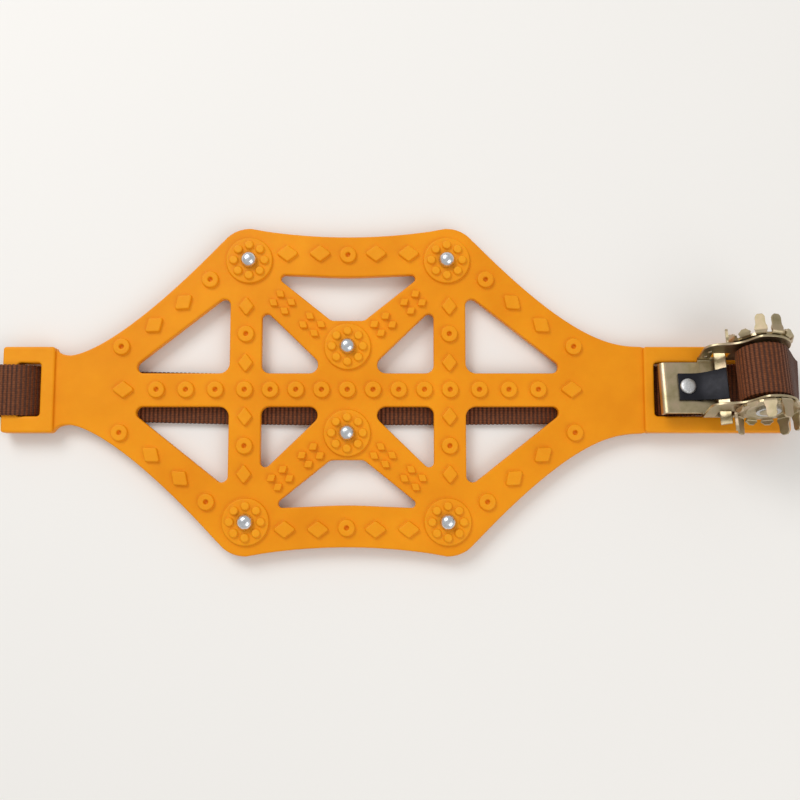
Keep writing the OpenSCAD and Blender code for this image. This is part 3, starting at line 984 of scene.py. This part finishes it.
def build_wheels():
    """The two wheels, which mirror each other, with teeth in pairs: two short, two long."""
    for side, name in ((-1, "front"), (1, "rear")):
        wheel = slab("wheel", circle((0, 0), WHEEL_R, 96), [circle((0, 0), AXLE_R + 0.02, 48)],
                     [(0, 0), (0, WHEEL_T)])
        tabs = []
        for k in range(TEETH):
            tab = bent_tooth(SHORT_TAB_L if k % 4 < 2 else TAB_L)
            turn = Matrix.Rotation(2 * math.pi * (k + 0.5) / TEETH, 3, "Z")
            for v in tab.data.vertices:
                v.co = turn @ v.co
            tabs.append(tab)
        combine(wheel, join("tabs", tabs), "UNION")
        combine(wheel, embossed_ring(), "UNION")
        for v in wheel.data.vertices:
            p = v.co / MM
            v.co = (SPOOL_LOCAL + Vector((p.x, side * (WHEEL_Y + p.z), p.y))) * MM
        fix_normals(wheel)
        finish_on_ratchet(wheel, f"toothed_wheel_{name}", ZINC, "spool",
                          [f"ratchet_wheel_{name}"], 40, 0.16)


def embossed_ring():
    """A low stamped ring that stiffens the wheel."""
    profile = [(-0.3, 0.4), (0, WHEEL_T), (0.35, WHEEL_T + 0.28), (0.6, WHEEL_T + 0.32),
               (0.7, WHEEL_T + 0.32)]
    return slab("ring", circle((0, 0), EMBOSSED[1], 64), [circle((0, 0), EMBOSSED[0], 64)], profile)


# The leaf's top surface from the clamped end to the tip: along, up, slope and half-width
LEAF = [(8.3, 2.7, 0, 6.75), (11, 2.7, 0, 6.75), (14, 2.7, 0, 6.75), (16.2, 2.75, 4, 6.8),
        (18, 3.0, 11, 6.85), (20, 3.5, 17, 6.95), (22, 4.2, 20, 7.1), (25.2, 5.57, 25, 7.45),
        (26, 5.95, 26, 7.5), (28, 7.0, 29, 7.7), (30, 8.1, 29, 7.85)]


def below(station, depth):
    """A station moved down square to its slope."""
    x, z, degrees, half = station
    a = math.radians(degrees)
    return (x + math.sin(a) * depth, z - math.cos(a) * depth, degrees, half)


def build_pawl():
    """The black leaf spring, clamped at its root, and the bar under its tip that passes both ears."""
    leaf = strip("leaf", [below(s, LEAF_T / 2) for s in LEAF], LEAF_T)
    for v in leaf.data.vertices:
        v.co = on_ratchet(v.co / MM) * MM
    leaf.name = "leaf_spring"
    leaf.data.materials.append(SPRING)
    crisp(leaf, 35, 0.2)
    leaf.modifiers.clear()
    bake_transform(leaf)
    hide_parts("pawl_root", "pawl_blade")

    stations = [below((x, z, d, BAR_HALF), LEAF_T + BAR_T / 2 + 0.02) for x, z, d, _ in LEAF[-4:]]
    bar = strip("bar", stations, BAR_T)
    finish_on_ratchet(bar, "locking_bar", ZINC, "pawl", ["pawl_blade"], 40, 0.3)


def build_rivet():
    """The pawl's rivet: a tail under the plate, a shank, and a low domed head on the leaf."""
    top = PLATE_T + PAWL_T
    tail = [(0, -4), (2.9, -4), (3.3, -3.75), (3.4, -2.8), (2.5, -2.8)]
    head = [(2.5, top), (3.7, top), (3.8, top + 0.15), (3.8, top + 0.65), (3.62, top + 1.0), (3.1, top + 1.3),
            (2.2, top + 1.5), (1.1, top + 1.58), (0, top + 1.6)]
    rivet = revolve("rivet", tail + head, lambda v: Vector((RIVET_X, 0, 0)) + v, None)
    finish_on_ratchet(rivet, "pawl_rivet_head", BRIGHT, "cleat", ["pawl_rivet"], 50)


def dress_cad_nodes():
    """Small turned parts keep the shape of their CAD nodes, and get a material."""
    for node, material in (("rivet_washer", BRIGHT), ("spindle", ZINC), ("spindle_cap_front", BRIGHT),
                           ("spindle_cap_rear", BRIGHT)):
        obj = frame["nodes"][node]
        for slot in obj.material_slots:
            slot.material = material


# ---------------------------------------------------------------- stage, light and camera

FLOOR_HALF = 3000


def build_stage():
    """A pale, almost even floor."""
    corners = [(x * FLOOR_HALF, y * FLOOR_HALF, 0) for x, y in ((-1, -1), (1, -1), (1, 1), (-1, 1))]
    floor = make("floor", corners, [(0, 1, 2, 3)])
    material, tree, shader = principled("pale_floor", (0.90, 0.885, 0.86), 0.85)
    tint = ramp(tree, noise(tree, 3, 2), (0.3, (0.895, 0.88, 0.855)), (0.7, (0.905, 0.89, 0.865)))
    tree.links.new(tint, shader.inputs["Base Color"])
    floor.data.materials.append(material)


def area_light(name, at, size, power):
    """A square light that points at the origin. Its place and size are in metres, its power in watts."""
    light = bpy.data.lights.new(name, "AREA")
    light.size = size
    light.energy = power
    obj = bpy.data.objects.new(name, light)
    obj.location = at
    obj.rotation_euler = (-Vector(at)).to_track_quat("-Z", "Y").to_euler()
    bpy.context.collection.objects.link(obj)


def build_light():
    """An even, faintly warm surround, and two soft lights from the back left and the front right."""
    world = bpy.data.worlds.new("studio")
    world.use_nodes = True
    world.node_tree.nodes["Background"].inputs["Color"].default_value = (1.0, 0.985, 0.96, 1)
    world.node_tree.nodes["Background"].inputs["Strength"].default_value = 0.55
    bpy.context.scene.world = world
    area_light("key", at=(-0.55, 0.75, 1.0), size=0.7, power=8)
    area_light("fill", at=(0.7, -0.6, 0.9), size=0.9, power=4)
    bpy.context.scene.view_settings.view_transform = "Standard"


# The camera: width of the picture at the target, distance to it, tilt from straight above, and film width
IMAGE_MM = 385.8
DISTANCE = 520
TILT = 6.5
TARGET = Vector((25.4, -5.0, MAT_TOP))
SENSOR = 36


def build_camera():
    """Nearly straight above, a little towards the front, with the lattice left of the middle."""
    a = math.radians(TILT)
    camera = bpy.data.cameras.new("camera")
    camera.sensor_width = SENSOR
    camera.lens = SENSOR * DISTANCE / IMAGE_MM
    camera.clip_start = 0.01
    obj = bpy.data.objects.new("camera", camera)
    obj.location = (TARGET + DISTANCE * Vector((0, -math.sin(a), math.cos(a)))) * MM
    obj.rotation_euler = (a, 0, 0)
    bpy.context.collection.objects.link(obj)
    bpy.context.scene.camera = obj


build_camera()
build_light()
build_stage()
build_mat()
build_studs()
build_strap()
build_coil()
build_bracket()
build_wheels()
build_pawl()
build_rivet()
dress_cad_nodes()
